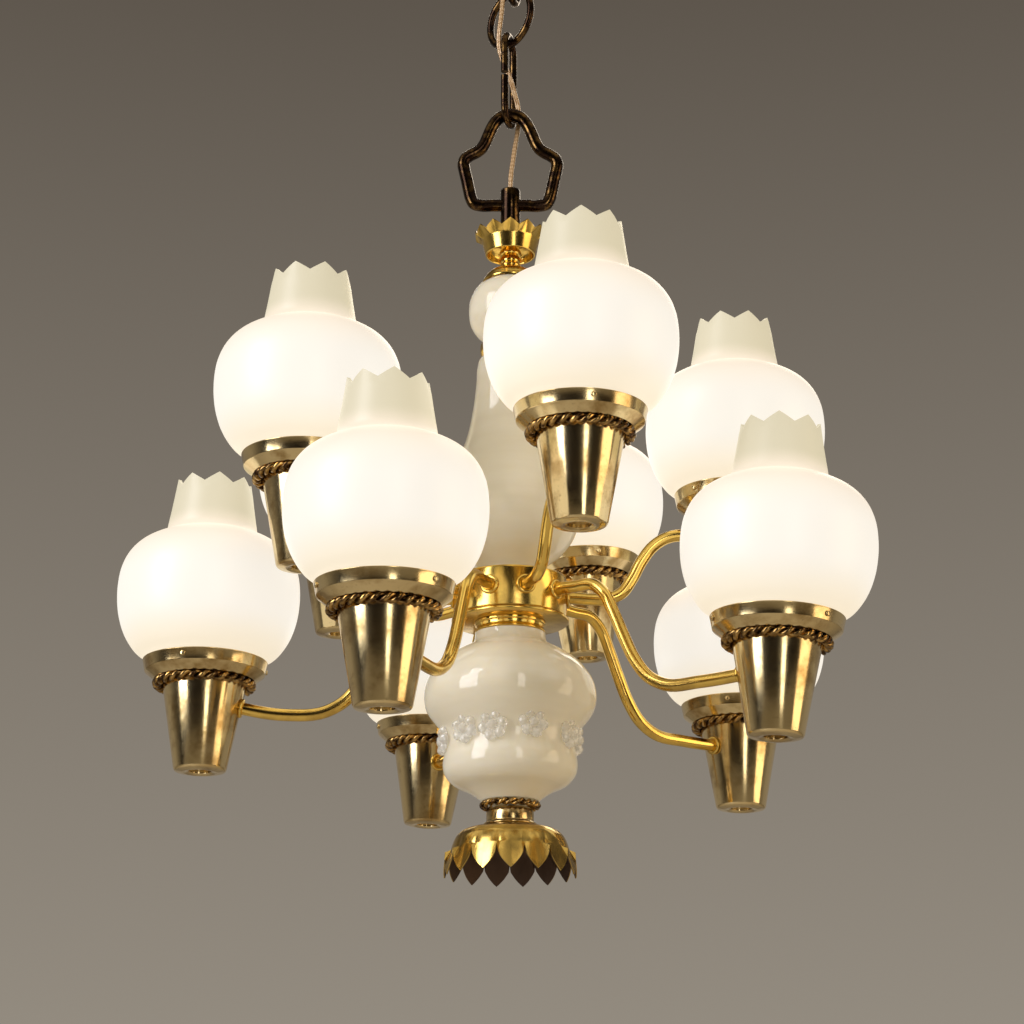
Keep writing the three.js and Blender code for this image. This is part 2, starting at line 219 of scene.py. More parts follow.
def clear_flex():
    """Clear flexible PVC over twisted copper strands, yellowed: the twist shows as faint slanted lines"""
    made, tree = blank("clear PVC flex over copper")
    place = add(tree, "TexCoord", {}).outputs["Object"]
    strands = add(tree, "TexWave", {"Vector": place, "Scale": 1 / (7.5 * MM), "Distortion": 0.6},
                  bands_direction="DIAGONAL")
    colour = add(tree, "Mix", {0: strands.outputs["Fac"], 6: linear("#D2B084"), 7: linear("#B08A5C")},
                 data_type="RGBA")
    close(tree, {"Base Color": colour.outputs[2], "Roughness": 0.35, "Metallic": 0.3, "Coat Weight": 0.8,
                 "Coat Roughness": 0.12})
    return made


def porcelain():
    """Glazed electrical porcelain, off-white with the odd iron speck"""
    made, tree = blank("glazed porcelain")
    place = add(tree, "TexCoord", {}).outputs["Object"]
    grain = add(tree, "TexNoise", {"Vector": place, "Scale": 1 / (1.2 * MM), "Detail": 2})
    speck = add(tree, "MapRange", {"Value": grain.outputs["Fac"], "From Min": 0.70, "From Max": 0.76})
    colour = add(tree, "Mix", {0: speck.outputs[0], 6: linear("#E9E4D8"), 7: linear("#B9AE98")},
                 data_type="RGBA")
    close(tree, {"Base Color": colour.outputs[2], "Roughness": 0.12, "IOR": 1.5})
    return made


def bulb_glass():
    """The frosted bulb, lit: hottest at its widest, where the filament is"""
    made, tree = blank("frosted bulb glass, lit")
    rise = add(tree, "Attribute", {}, attribute_name="rise")
    hot = add(tree, "MapRange", {"Value": rise.outputs["Fac"], "From Min": 0.15, "From Max": 0.6},
              interpolation_type="SMOOTHSTEP")
    glow = add(tree, "Mix", {0: hot.outputs[0], 6: linear("#C9A878"), 7: linear("#FFF3D8")},
               data_type="RGBA")
    close(tree, {"Base Color": linear("#F4EFE4"), "Roughness": 0.3, "Emission Color": glow.outputs[2],
                 "Emission Strength": 1.6})
    return made


def pale_floor():
    """Painted concrete, faintly cloudy"""
    made, tree = blank("pale painted floor")
    place = add(tree, "TexCoord", {}).outputs["Object"]
    cloud = add(tree, "TexNoise", {"Vector": place, "Scale": 1.5, "Detail": 3})
    mixed = add(tree, "Mix", {0: cloud.outputs["Fac"], 6: linear("#CEC8BD"), 7: linear("#C4BDB1")},
                data_type="RGBA")
    close(tree, {"Base Color": mixed.outputs[2], "Roughness": 0.7})
    return made


# ---------------------------------------------------------------- making shapes

def smooth(points, steps=5):
    """Points along the smooth curve that passes through the given ones"""
    points = [Vector(p) for p in points]
    if len(points) < 3:
        return points
    spans = list(zip(points, points[1:]))
    gaps = [(b - a).length for a, b in spans]
    slopes = [(b - a) / gap for (a, b), gap in zip(spans, gaps)]
    inner = [(s * h + t * g) / (g + h) for s, t, g, h in zip(slopes, slopes[1:], gaps, gaps[1:])]
    tangents = [slopes[0] * 1.5 - inner[0] * 0.5, *inner, slopes[-1] * 1.5 - inner[-1] * 0.5]
    curve = [points[0]]
    for (a, b), gap, ta, tb in zip(spans, gaps, tangents, tangents[1:]):
        for i in range(1, steps + 1):
            t = i / steps
            curve.append(a * (2 * t ** 3 - 3 * t ** 2 + 1) + b * (3 * t ** 2 - 2 * t ** 3)
                         + ta * gap * (t ** 3 - 2 * t ** 2 + t) + tb * gap * (t ** 3 - t ** 2))
    return curve


def finish_mesh(piece, angle=38):
    """Puts a piece's place into its mesh and shades it smooth up to its edges"""
    bpy.ops.object.transform_apply(location=True, rotation=True, scale=True)
    bpy.ops.object.shade_smooth_by_angle(angle=math.radians(angle))
    return piece


def apply(piece, kind, **settings):
    modifier = piece.modifiers.new(kind.lower(), kind)
    for name, value in settings.items():
        setattr(modifier, name, value)
    bpy.ops.object.modifier_apply(modifier=modifier.name)


def turned(name, stretches, base=0.0, segments=96, wall=0.0, edge=0.0, steps=5, shape=None):
    """A piece turned about Z: a ring drawn out along smooth stretches of [radius, height], which meet in
    corners and keep the outside on their right. shape(mesh) may move rim points before the wall is made"""
    outline = [Vector(stretches[0][0])]
    for stretch in stretches:
        outline += smooth(stretch, steps)[1:]
    on_axis = 0.01
    bpy.ops.object.select_all(action="DESELECT")
    radius, height = max(outline[0].x, on_axis), outline[0].y
    bpy.ops.mesh.primitive_circle_add(vertices=segments, radius=radius * MM,
                                      location=(0, 0, base + height * MM))
    piece = bpy.context.object
    piece.name = name
    bpy.ops.object.mode_set(mode="EDIT")
    bpy.ops.mesh.select_all(action="SELECT")
    for point in outline[1:]:
        wide, high = max(point.x, on_axis), point.y
        bpy.ops.mesh.extrude_region_move(TRANSFORM_OT_translate={"value": (0, 0, (high - height) * MM)})
        bpy.ops.transform.resize(value=(wide / radius, wide / radius, 1), center_override=(0, 0, 0))
        radius, height = wide, high
    bpy.ops.mesh.select_all(action="SELECT")
    bpy.ops.mesh.remove_doubles(threshold=0.04 * MM)
    bpy.ops.mesh.normals_make_consistent(inside=False)
    bpy.ops.object.mode_set(mode="OBJECT")
    bpy.ops.object.transform_apply(location=True, rotation=True, scale=True)
    face_outwards(piece.data, outline, base)
    if shape:
        shape(piece.data)
    if wall:
        apply(piece, "SOLIDIFY", thickness=wall * MM, offset=-1, use_even_offset=True)
    if edge:
        apply(piece, "BEVEL", width=edge * MM, segments=2, limit_method="ANGLE",
              angle_limit=math.radians(35))
    return finish_mesh(piece)


def face_outwards(mesh, outline, base):
    """Turns the faces round if the largest one doesn't face the outline's right-hand side"""
    face = max(mesh.polygons, key=lambda f: f.area)
    spot = Vector((face.center.xy.length, face.center.z - base)) / MM
    start, end = min(zip(outline, outline[1:]), key=lambda s: ((s[0] + s[1]) / 2 - spot).length)
    outwards = Vector((*face.center.xy, 0)).normalized() * (end.y - start.y) + UP * (start.x - end.x)
    if face.normal.dot(outwards) < 0:
        mesh.flip_normals()


def bar(name, points, radius, closed=False, roundness=5):
    """Round bar, tube or wire along points in metres"""
    data = bpy.data.curves.new(name, "CURVE")
    data.dimensions = "3D"
    data.bevel_depth = radius * MM
    data.bevel_resolution = roundness
    data.use_fill_caps = not closed
    line = data.splines.new("POLY")
    line.points.add(len(points) - 1)
    for spot, point in zip(line.points, points):
        spot.co = (*point, 1)
    line.use_cyclic_u = closed
    piece = bpy.data.objects.new(name, data)
    bpy.context.scene.collection.objects.link(piece)
    bpy.ops.object.select_all(action="DESELECT")
    piece.select_set(True)
    bpy.context.view_layer.objects.active = piece
    bpy.ops.object.convert(target="MESH")
    piece = bpy.context.object
    bpy.ops.object.mode_set(mode="EDIT")
    bpy.ops.mesh.select_all(action="SELECT")
    bpy.ops.mesh.remove_doubles(threshold=0.01 * MM)
    bpy.ops.mesh.normals_make_consistent(inside=False)
    bpy.ops.object.mode_set(mode="OBJECT")
    return finish_mesh(piece)


def join(name, pieces):
    bpy.ops.object.select_all(action="DESELECT")
    for piece in pieces:
        piece.select_set(True)
    bpy.context.view_layer.objects.active = pieces[0]
    bpy.ops.object.join()
    pieces[0].name = name
    return pieces[0]


def points_of_rim(rim, count, depth, side):
    """A shape() that cuts a rim at that height into count points. side(share) is how far the edge has
    gone from a tip, 0, to the notch, 1"""
    def shape(mesh):
        for vertex in mesh.vertices:
            if abs(vertex.co.z - rim) < 0.05 * MM:
                turns = math.atan2(vertex.co.x, -vertex.co.y) * count / math.tau
                share = 2 * abs(turns - round(turns))
                vertex.co.z += depth * MM * side(share)
    return shape


def twisted_wire(name, radius, strand, twists, base):
    """Two wires twisted together and bent into a ring"""
    strands = []
    steps = twists * 10
    for start in (0, math.pi):
        points = []
        for i in range(steps):
            round_ring, round_rope = math.tau * i / steps, start + math.tau * twists * i / steps
            away = radius + strand * 1.02 * math.cos(round_rope)
            points.append(Vector((away * math.cos(round_ring), away * math.sin(round_ring),
                                  strand * 1.02 * math.sin(round_rope))) * MM + UP * base)
        strands.append(bar(name, points, strand * 0.94, closed=True, roundness=3))
    return join(name, strands)


def coat(piece, finish):
    piece.data.materials.clear()
    piece.data.materials.append(finish)
    return piece


def fit(piece, body, finish, stands_for=()):
    """Gives a piece its finish and the body that it moves with"""
    coat(piece, finish)
    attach(piece, body)
    if stands_for:
        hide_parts(*stands_for)
    return piece


def copy_at(master, name, place):
    piece = master.copy()
    piece.data = master.data.copy()
    piece.name = name
    bpy.context.scene.collection.objects.link(piece)
    piece.data.transform(place)
    return piece


# ---------------------------------------------------------------- flexible cord

FLEX_WIDTH = 4.6 * MM
FLEX_THICK = 2.6 * MM
FLEX_ROUTE = [
    (0, 0, -0.3356), (0.0003, 0.0008, -0.324), (0.002, 0.0026, -0.308), (0.0043, 0.0052, -0.29),
    (0.0064, 0.0074, -0.275), (0.0073, 0.0079, -0.263), (0.0064, 0.0064, -0.251),
    (0.0034, 0.003, -0.24), (0.0004, -0.0002, -0.2302),
    (-0.0034, -0.0028, -0.22), (-0.0076, -0.005, -0.21), (-0.01, -0.0066, -0.199),
    (-0.01, -0.0072, -0.188), (-0.009, -0.0074, -0.178), (-0.008, -0.0074, -0.1692),
    (-0.0071, -0.0068, -0.158), (-0.0062, -0.0058, -0.146), (-0.0056, -0.0044, -0.133),
    (-0.0052, -0.0026, -0.12), (-0.005, -0.0008, -0.1082),
    (-0.0054, 0.0034, -0.096), (-0.0062, 0.0078, -0.084), (-0.007, 0.0104, -0.072),
    (-0.009, 0.0128, -0.058), (-0.013, 0.0154, -0.045), (-0.0157, 0.0169, -0.033),
    (-0.016, 0.017, -0.0208),
]
# One stretch of the cord for each joint that it bends over: its last point on the route, the body that
# its upper end and its lower end move with, and the heights between which it bends
FLEX_STRETCHES = {
    "flex_to_oval_link": (8, "oval_link", "lamp", -0.250, -0.295),
    "flex_to_ring": (14, "ring_link", "oval_link", -0.175, -0.215),
    "flex_to_upper_link": (19, "upper_link", "ring_link", -0.130, -0.165),
    "flex_to_canopy": (26, "ceiling", "upper_link", -0.055, -0.092),
}


def twin_section():
    """Two round cores side by side with a groove between them, as [across, through] in metres"""
    core = FLEX_THICK / 2
    offset = FLEX_WIDTH / 2 - core
    groove = math.acos(-offset / core)
    half = [(offset + core * math.cos(a), core * math.sin(a))
            for a in (groove * (i / 4 - 1) for i in range(8))]
    return half + [(-across, -through) for across, through in half]


def cord_mesh(name, line, frames):
    """A tube of the twin section along a line, closed at both ends"""
    section = twin_section()
    sides = len(section)
    points = [spot + wide * across + thick * through
              for spot, (wide, thick) in zip(line, frames) for across, through in section]
    faces = [[i * sides + j, i * sides + (j + 1) % sides,
              (i + 1) * sides + (j + 1) % sides, (i + 1) * sides + j]
             for i in range(len(line) - 1) for j in range(sides)]
    last = (len(line) - 1) * sides
    faces += [list(range(sides))[::-1], [last + j for j in range(sides)]]
    mesh = bpy.data.meshes.new(name)
    mesh.from_pydata(points, [], faces)
    piece = bpy.data.objects.new(name, mesh)
    bpy.context.scene.collection.objects.link(piece)
    bpy.ops.object.select_all(action="DESELECT")
    piece.select_set(True)
    bpy.context.view_layer.objects.active = piece
    bpy.ops.object.shade_smooth_by_angle(angle=math.radians(60))
    return piece


def make_cord(finish):
    steps = 5
    line = smooth(FLEX_ROUTE, steps)
    wide = Vector((0.8, -0.6, 0))
    frames = []
    for before, after in zip([line[0], *line], [*line[1:], line[-1]]):
        along = (after - before).normalized()
        wide = (wide - along * wide.dot(along)).normalized()
        frames.append((wide, along.cross(wide)))
    start = 0
    for node, (last, upper, lower, bends_from, bends_to) in FLEX_STRETCHES.items():
        stop = last * steps
        stretch = line[start:stop + 1]
        piece = cord_mesh(node + "_twin", stretch, frames[start:stop + 1])
        coat(piece, finish)
        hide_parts(node)
        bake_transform(piece)
        start = stop


# ---------------------------------------------------------------- ceiling fitting and chain

STAR_TOP = 457.1
LINK_BEND = 13.25
LINK_LENGTH = 85
RING_RADIUS = 25.75
LINK_WIRE, RING_WIRE, STAR_WIRE, HOOK_WIRE = 3.25, 3.2, 5.3, 4
LINK_PLAY = 0.8
RING_PLAY = 1.8
LINK_TURN = -17            # degrees that the oval links are turned from facing sideways
RING_TURN = 47
OVAL_X = -1.2
UPPER_X = 2.2              # the upper link and the hook hang in one line
OVAL_BOTTOM = STAR_TOP - STAR_WIRE - LINK_WIRE - LINK_PLAY
RING_BOTTOM = OVAL_BOTTOM + LINK_LENGTH - LINK_WIRE - RING_WIRE - LINK_PLAY
UPPER_BOTTOM = RING_BOTTOM + 2 * RING_RADIUS - RING_WIRE - LINK_WIRE - RING_PLAY
HOOK_BOTTOM = UPPER_BOTTOM + LINK_LENGTH - LINK_WIRE - HOOK_WIRE - LINK_PLAY
PLATE_FACE = 716


def ceiling_fitting(steel, brass, white):
    plate = turned("ceiling_plate_disc", [[(0, PLATE_FACE), (31, PLATE_FACE)],
                                          [(31, PLATE_FACE), (31.8, 716.6), (32, 717.6)],
                                          [(32, 717.6), (32, 720)], [(32, 720), (0, 720)]], HUB)
    fit(plate, "ceiling", steel, ["ceiling_plate"])
    screw = turned("screw", [[(0, -2), (2.4, -1.7), (3.4, -0.4), (3.5, 0)], [(3.5, 0), (0, 0)]], 0, 32)
    for n, across in enumerate((-16.1, 16.1)):
        place = Matrix.Translation((across * MM, -across * MM, HUB + PLATE_FACE * MM))
        fit(copy_at(screw, f"plate_screw_{n + 1}", place), "ceiling", steel)
    bpy.data.objects.remove(screw)
    x, bend = UPPER_X, 12
    middle = HOOK_BOTTOM + bend
    tip = [(x + bend * math.cos(a), middle + bend * math.sin(a))
           for a in (math.radians(d) for d in range(0, -200, -20))]
    shank = [(x, PLATE_FACE - 0.2), (x, middle + 40), (x - 3, middle + 28), (x - 9.5, middle + 16)]
    route = smooth([(across, 0, high) for across, high in shank + tip[::-1]], 6)
    hook = bar("bent_hook", [Vector(p) * MM + UP * HUB for p in route], HOOK_WIRE)
    fit(hook, "ceiling", steel, ["ceiling_hook"])
    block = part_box("terminal_block")
    bpy.ops.object.select_all(action="DESELECT")
    bpy.ops.mesh.primitive_cube_add(size=1, location=(block[0] + block[1]) / 2)
    piece = bpy.context.object
    piece.name = "terminal_block_body"
    piece.scale = block[1] - block[0]
    bpy.ops.object.transform_apply(location=True, rotation=True, scale=True)
    bpy.ops.object.mode_set(mode="EDIT")
    bpy.ops.mesh.select_all(action="SELECT")
    bpy.ops.mesh.bisect(plane_co=(block[0] + block[1]) / 2, plane_no=(1, 0, 0))
    bpy.ops.mesh.bevel(offset=0.5 * MM, segments=2)
    bpy.ops.object.mode_set(mode="OBJECT")
    apply(piece, "BEVEL", width=0.8 * MM, segments=3, limit_method="ANGLE", angle_limit=math.radians(35))
    fit(finish_mesh(piece), "ceiling", white, ["terminal_block"])
    bell = turned("canopy_bell", [[(37.4, 656.6), (38, 656), (39, 656.6), (41, 661.4), (45, 673),
                                   (52, 694), (56.6, 709), (57.6, 715)],
                                  [(57.6, 715), (58.6, 716), (58.8, 717.6), (58.2, 719.3)]], HUB, 128, 1.3)
    fit(bell, "canopy", brass, ["canopy"])


def oval_link(name, x, bottom):
    """Bent wire whose ends meet, with an open joint, half way up the bar that faces the front"""
    low, high = bottom + LINK_BEND, bottom + LINK_LENGTH - LINK_BEND
    half = (low + high) / 2
    bends = range(0, 181, 15)
    over = [(-math.cos(math.radians(a)), high + LINK_BEND * math.sin(math.radians(a))) for a in bends]
    under = [(math.cos(math.radians(a)), low - LINK_BEND * math.sin(math.radians(a))) for a in bends]
    loop = [(-1, half + 2), *over, *under, (-1, half - 2)]
    turn = Matrix.Rotation(math.radians(LINK_TURN), 3, "Z")
    points = [Vector((x, 0, high_mm)) + turn @ Vector((0, side * LINK_BEND, 0)) for side, high_mm in loop]
    return bar(name, [p * MM + UP * HUB for p in points], LINK_WIRE, roundness=6)


def chain(bronze):
    upper = oval_link("upper_link_wire", UPPER_X, UPPER_BOTTOM)
    fit(upper, "upper_link", bronze, ["upper_link"])
    lower = oval_link("oval_link_wire", OVAL_X, OVAL_BOTTOM)
    fit(lower, "oval_link", bronze, ["oval_link"])
    across = Vector((math.cos(math.radians(RING_TURN)), -math.sin(math.radians(RING_TURN)), 0))
    centre = UP * (RING_BOTTOM + RING_RADIUS)
    circle = [(centre + (across * math.cos(a) + UP * math.sin(a)) * RING_RADIUS) * MM + UP * HUB
              for a in (math.tau * i / 72 for i in range(72))]
    ring = bar("ring_link_wire", circle, RING_WIRE, closed=True, roundness=6)
    fit(ring, "ring_link", bronze, ["ring_link"])


def star_loop(bronze):
    """One bent wire, with its ends meeting inside the sleeve"""
    bar_height = 370
    half = [(0.3, bar_height), (14, bar_height), (26, bar_height), (31.2, 371.6), (33.8, 376.4),
            (35.6, 384), (37.6, 394), (39.6, 403), (40.5, 408.6), (39.2, 413.6), (35, 417.4), (29.6, 420.4),
            (25.4, 423.8), (22.4, 428.4), (20, 434.4), (17, 442), (13.4, 449), (8, 454.8)]
    left = [(-x, z) for x, z in half[::-1]]
    route = smooth([(x, 0, z) for x, z in [*half, (0, STAR_TOP), *left]], 5)
    loop = bar("star_loop_wire", [p * MM + UP * HUB for p in route], STAR_WIRE, roundness=8)
    fit(loop, "lamp", bronze, ["star_loop"])
    sleeve = turned("stem_sleeve_tube", [[(5.4, 347), (8, 347)], [(8, 347), (8.4, 348)],
                                         [(8.4, 348), (8.4, 382.5)], [(8.4, 382.5), (8, 384), (6.8, 384.4)],
                                         [(6.8, 384.4), (3.4, 384.4)], [(3.4, 384.4), (3.4, 372)]], HUB, 64)
    fit(sleeve, "lamp", bronze, ["stem_sleeve"])


# ---------------------------------------------------------------- column and hub

def zigzag(share):
    return share


def leaf(share):
    """The side of a pointed leaf: it leaves the tip steeply and meets its neighbour in a sharp notch"""
    return 1 - math.sqrt(max(0.0, 1 - share))


def upper_column(brass, glass):
    crown = turned("top_crown_cup", [
        [(5.4, 333), (12, 332.4), (17.4, 329.6), (19.4, 324)],
        [(19.4, 324), (20, 322.8), (21, 323), (21.4, 324.4)],
        [(21.4, 324.4), (22.6, 329), (24.6, 336)], [(24.6, 336), (30, 345.5)],
    ], HUB, 120, 1.1, shape=points_of_rim(HUB + 345.5 * MM, 12, -6.5, zigzag))
    fit(crown, "lamp", brass, ["top_crown"])
    nut = turned("collar_nut_body", [
        [(5.2, 311.4), (8.4, 311.4)], [(8.4, 311.4), (9, 312.6), (8.4, 314)], [(8.4, 314), (7, 315)],
        [(7, 315), (8, 316), (8.2, 318.5), (7.8, 321), (7, 322)],
        [(7, 322), (8.8, 323), (9.2, 325), (8.8, 327)],
        [(8.8, 327), (7.8, 328.4)], [(7.8, 328.4), (7.8, 331.6)], [(7.8, 331.6), (5.2, 331.6)],
    ], HUB, 64)
    fit(nut, "lamp", brass, ["collar_nut"])
    cap = turned("ball_cap_dome", [[(23.2, 296.8), (23.5, 298), (22.8, 299.4)],
                                   [(22.8, 299.4), (20.5, 303.6), (15, 308), (9.6, 310.6), (5.2, 311.2)]],
                 HUB, 96, 1.2)
    fit(cap, "lamp", brass, ["ball_cap"])
    ball = turned("glass_ball_blown", [[(19, 243.6), (27.6, 249.6), (33.4, 259), (35, 270), (33.6, 281.4),
                                        (28.4, 291), (20.8, 297)]], HUB, 96, 3)
    fit(ball, "lamp", glass, ["glass_ball"])
    bead = turned("neck_bead_ring", [[(18, 229), (21.6, 229), (24.4, 231.4), (25.3, 236.2), (24.4, 241),
                                      (21.6, 243.3), (18, 243.4)]], HUB, 96, 1.2)
    fit(bead, "lamp", brass, ["neck_bead"])
    vase = turned("glass_vase_blown", [
        [(24.6, 37.4), (26.4, 43), (33, 50), (43, 58.4), (53, 72.5), (57.8, 90), (55.4, 109), (46, 132),
         (37, 154), (31.4, 180), (28.4, 206), (27.4, 221), (26, 226), (22.4, 228.8)],
    ], HUB, 128, 3, steps=4)
    fit(vase, "lamp", glass, ["glass_vase"])


def hub(brass):
    drum = turned("hub_drum_shell", [[(44.2, 2), (45.6, 2.2), (46, 3)], [(46, 3), (46, 33.2)],
                                     [(46, 33.2), (45.6, 34.8), (44, 35.5)], [(44, 35.5), (26.8, 37)]],
                  HUB, 160, 1.4)
    fit(drum, "lamp", brass, ["hub_drum"])
    plate = turned("hub_plate_disc", [[(5.2, -1.5), (46.4, -1.5)],
                                      [(46.4, -1.5), (47.3, -1), (47.6, 0), (47.3, 1), (46.4, 1.5)],
                                      [(46.4, 1.5), (5.2, 1.5)]], HUB, 160)
    fit(plate, "lamp", brass, ["hub_plate"])
    gallery = turned("urn_gallery_ring", [[(27, -10.2), (28.2, -9.9), (28.5, -9.2), (28, -8.5)],
                                          [(28, -8.5), (27.6, -7.9), (27.6, -4.2)],
                                          [(27.6, -4.2), (28.6, -3.6), (28.9, -1.7)]], HUB, 96, 1.1)
    fit(gallery, "lamp", brass, ["urn_gallery"])


# Each rosette's place round the urn, in degrees from the front towards +X, and its height: they are set
# by hand, so their spacing is uneven
ROSETTES = [(-80, -100), (-42, -96.5), (-15, -96.5), (19, -94), (59.5, -98), (97, -97), (134, -95.5),
            (170, -98), (206, -96), (243, -97)]
URN_WAIST = 52.8
PETALS = 15
PETAL_TIP = -206.5
PETAL_FOOT = -171          # the height below which each petal is dished


def rosette():
    """A pressed flower: a faceted bead in a ring of six petals, its flat side against the urn"""
    petals = 6

    def shape(mesh):
        for vertex in mesh.vertices:
            away = vertex.co.xy.length / MM
            petal = abs(math.cos(petals / 2 * math.atan2(vertex.co.y, vertex.co.x)))
            if away > 3.9:
                vertex.co.x *= 0.84 + 0.2 * petal
                vertex.co.y *= 0.84 + 0.2 * petal
                if vertex.co.z > 0:
                    vertex.co.z += (1.7 * petal - 0.9) * MM * min(1, (away - 3.9) / 2)
    return turned("rosette", [
        [(0, -1), (10.6, -1)], [(10.6, -1), (12, 0.4), (11.6, 2.2), (9.2, 4.4), (6.8, 4.4), (4.4, 2.6)],
        [(4.4, 2.6), (3.6, 4.8)], [(3.6, 4.8), (1.8, 6.2)], [(1.8, 6.2), (0, 6.4)],
    ], 0, 36, steps=2, shape=shape)


def inside_attribute(piece):
    """Marks the points whose surface faces the piece's axis, where its finish paints shade"""
    inner = [float(vertex.normal.xy.dot(vertex.co.xy.normalized()) < -0.05) for vertex in piece.data.vertices]
    piece.data.attributes.new("inside", "FLOAT", "POINT").data.foreach_set("value", inner)


def lower_column(brass, pressed, aged, rope_finish, glass, clear, steel):
    urn = turned("glass_urn_blown", [
        [(22.6, -147), (27, -143.4), (34.6, -138.4), (46.6, -132.4), (52.4, -125), (53.6, -116.5),
         (52, -108), (51.2, -100), (53.6, -92), (60.4, -83.6), (66.8, -74.6), (69.3, -63), (67, -51),
         (59, -38.6), (47.4, -28.8), (36, -22.4), (30, -18.6), (28.6, -14), (28.4, -10.6)],
    ], HUB, 128, 3, steps=4)
    fit(urn, "lamp", glass, ["glass_urn"])
    flower = rosette()
    bpy.ops.object.shade_flat()
    for n, (turn, height) in enumerate(ROSETTES):
        angle = math.radians(turn)
        outwards = Vector((math.sin(angle), -math.cos(angle), 0))
        stand = outwards.to_track_quat("Z", "Y").to_matrix().to_4x4()
        place = (Matrix.Translation(outwards * URN_WAIST * MM + UP * (HUB + height * MM)) @ stand
                 @ Matrix.Rotation(math.radians(37 * n), 4, "Z"))
        fit(copy_at(flower, f"urn_rosette_{n + 1}", place), "lamp", clear)
    bpy.data.objects.remove(flower)
    rope = twisted_wire("foot_rope", 21.4, 1.55, 10, HUB - 150.2 * MM)
    fit(rope, "lamp", rope_finish, ["rope_ring"])
    spool = turned("foot_spool_turned", [
        [(5.2, -166.4), (20.6, -166.4)], [(20.6, -166.4), (21.2, -165.5), (20.6, -164.6)],
        [(20.6, -164.6), (19.2, -163.8), (18.8, -162)], [(18.8, -162), (18.8, -155)],
        [(18.8, -155), (17.6, -153.6), (5.2, -153.6)],
    ], HUB)
    fit(spool, "lamp", aged, ["foot_spool"])

    def shape(mesh):
        points_of_rim(HUB + PETAL_TIP * MM, PETALS, 18.5, leaf)(mesh)
        for vertex in mesh.vertices:
            below = min(1, max(0, (HUB + PETAL_FOOT * MM - vertex.co.z) / (14 * MM)))
            turns = math.atan2(vertex.co.x, -vertex.co.y) * PETALS / math.tau
            across = 2 * abs(turns - round(turns))
            swell = 1 + below * (0.006 - 0.018 * across ** 3)
            vertex.co.x *= swell
            vertex.co.y *= swell
    petals = turned("petal_crown_bell", [
        [(52, PETAL_TIP), (46.6, -186)],
        [(46.6, -186), (45.2, -181), (42.6, -175.6), (38, -171.2), (31, -168.8), (22, -168.1), (5.4, -167.8)],
    ], HUB, PETALS * 16, 1.1, shape=shape)
    inside_attribute(petals)
    fit(petals, "lamp", pressed, ["petal_crown"])
    nut = turned("finial_nut_hex", [[(5.2, -179), (8.6, -179)], [(8.6, -179), (9.5, -178.2)],
                                    [(9.5, -178.2), (9.5, -170.6)], [(9.5, -170.6), (5.2, -170.6)]], HUB, 6,
                 edge=0.3)
    fit(nut, "lamp", brass, ["finial_nut"])
    threads = []
    for i in range(24):
        foot = -184 + i * 0.75
        threads += [[(4.6, foot), (5, foot + 0.37)], [(5, foot + 0.37), (4.6, foot + 0.75)]]
    rod = turned("centre_rod_threaded", [[(0, -184.6), (4, -184.6)], [(4, -184.6), (4.6, -184)], *threads,
                                         [(4.6, -166), (4.8, -166)], [(4.8, -166), (4.8, 358)],
                                         [(4.8, 358), (0, 358)]], HUB, 48)
    fit(rod, "lamp", steel, ["centre_rod"])


# ---------------------------------------------------------------- lamps

ARM_TUBE = 5
ARM_HEIGHT = 19.3          # where an arm leaves the drum
ARM_BELOW_RIM = 38         # where it meets the cup
ARM_END = 29.6             # how far from the cup's axis it ends
DRUM_SIDE = 45.6
GRUB_SCREW_OUT, GRUB_SCREW_DOWN = 49.4, 4.6
SHADE_TOP = 153.5
UPPER_RISE = [(80, 18.8), (90, 23), (99, 35), (107, 50), (117, 63), (128, 70), (139, 72)]
LOWER_RISE = [(82, 17), (92, 9), (102, -10), (111, -30), (121, -50), (133, -65), (148, -73.5), (180, -76)]


def rise_attribute(piece, top):
    """How far up the glass each point is, from 0 at the rim to 1 at the top"""
    heights = [vertex.co.z / (top * MM) for vertex in piece.data.vertices]
    piece.data.attributes.new("rise", "FLOAT", "POINT").data.foreach_set("value", heights)


def shade_master():
    shade = turned("shade", [
        [(46.6, -9), (47.2, -4), (49.2, 0.6), (58.2, 8.4), (66.2, 20), (71.6, 35), (73.7, 49), (73.8, 61),
         (71.8, 75), (66.8, 86.6), (59.6, 95), (51, 100.8), (43.5, 104.2), (39.6, 106.4), (37.4, 109.4),
         (36.3, 114)], [(36.3, 114), (33.6, 130), (31.8, 142)], [(31.8, 142), (30.2, SHADE_TOP)],
    ], 0, 112, 2.8, shape=points_of_rim(SHADE_TOP * MM, 8, -7.6, zigzag))
    rise_attribute(shade, SHADE_TOP)
    return shade


